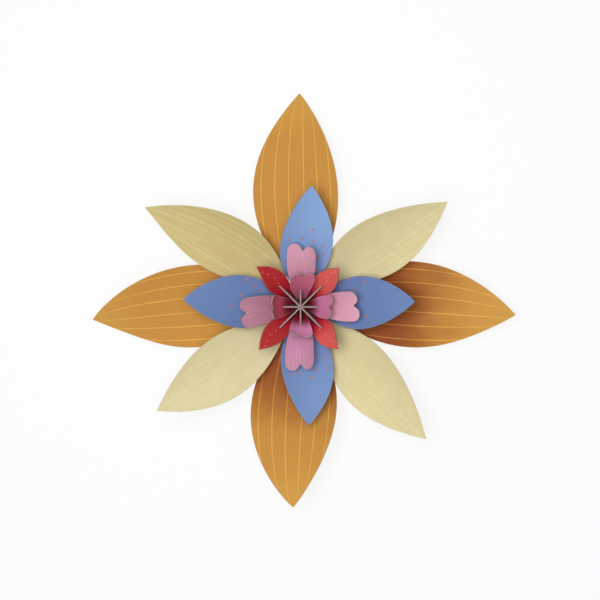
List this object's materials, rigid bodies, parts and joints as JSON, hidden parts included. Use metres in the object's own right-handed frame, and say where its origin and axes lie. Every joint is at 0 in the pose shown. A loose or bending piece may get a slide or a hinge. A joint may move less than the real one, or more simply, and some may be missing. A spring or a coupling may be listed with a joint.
{
  "type": "giant paper flower",
  "caption": "Large layered card flower: tiers of bent leaf-shaped and two-lobed petals slotted into crossing board ribs, lying on its back for wall or table display.",
  "frame": {"origin": "on the middle axis, at the bottom edges of the ribs, on the surface that the flower lies on", "axes": "+Z out of the flower's face along the middle axis, +X to the right and +Y up as the flower is seen from the front"},
  "size_m": [0.4383, 0.4163, 0.1078],
  "materials": {
    "grey_board": "raw grey board with a visible fibre grain and a cut edge",
    "orange_card": "matt printed ochre with thin paler lengthwise lines",
    "cream_card": "matt printed cream with fine paler lengthwise dashes",
    "blue_card": "matt printed blue with small rust dots near the middle",
    "pale_pink_card": "matt printed pale pink with faint paler streaks",
    "red_card": "matt printed red with a row of small pale dots",
    "deep_pink_card": "matt printed pink, deeper towards the middle"
  },
  "bodies": {
    "root": {"rib_wide_lower": "grey_board", "rib_narrow_lower": "grey_board", "rib_narrow_upper": "grey_board", "rib_wide_upper": "grey_board", "petal_orange_top": "orange_card", "petal_orange_right": "orange_card", "petal_orange_bottom": "orange_card", "petal_orange_left": "orange_card", "petal_cream_top_left": "cream_card", "petal_cream_top_right": "cream_card", "petal_cream_bottom_left": "cream_card", "petal_cream_bottom_right": "cream_card", "petal_blue_top": "blue_card", "petal_blue_right": "blue_card", "petal_blue_bottom": "blue_card", "petal_blue_left": "blue_card", "petal_long_pink_top": "pale_pink_card", "petal_long_pink_right": "pale_pink_card", "petal_long_pink_bottom": "pale_pink_card", "petal_long_pink_left": "pale_pink_card", "petal_red_top_left": "red_card", "petal_red_top_right": "red_card", "petal_red_bottom_left": "red_card", "petal_red_bottom_right": "red_card", "petal_short_pink_top": "deep_pink_card", "petal_short_pink_right": "deep_pink_card", "petal_short_pink_bottom": "deep_pink_card", "petal_short_pink_left": "deep_pink_card"}
  },
  "joints": []
}
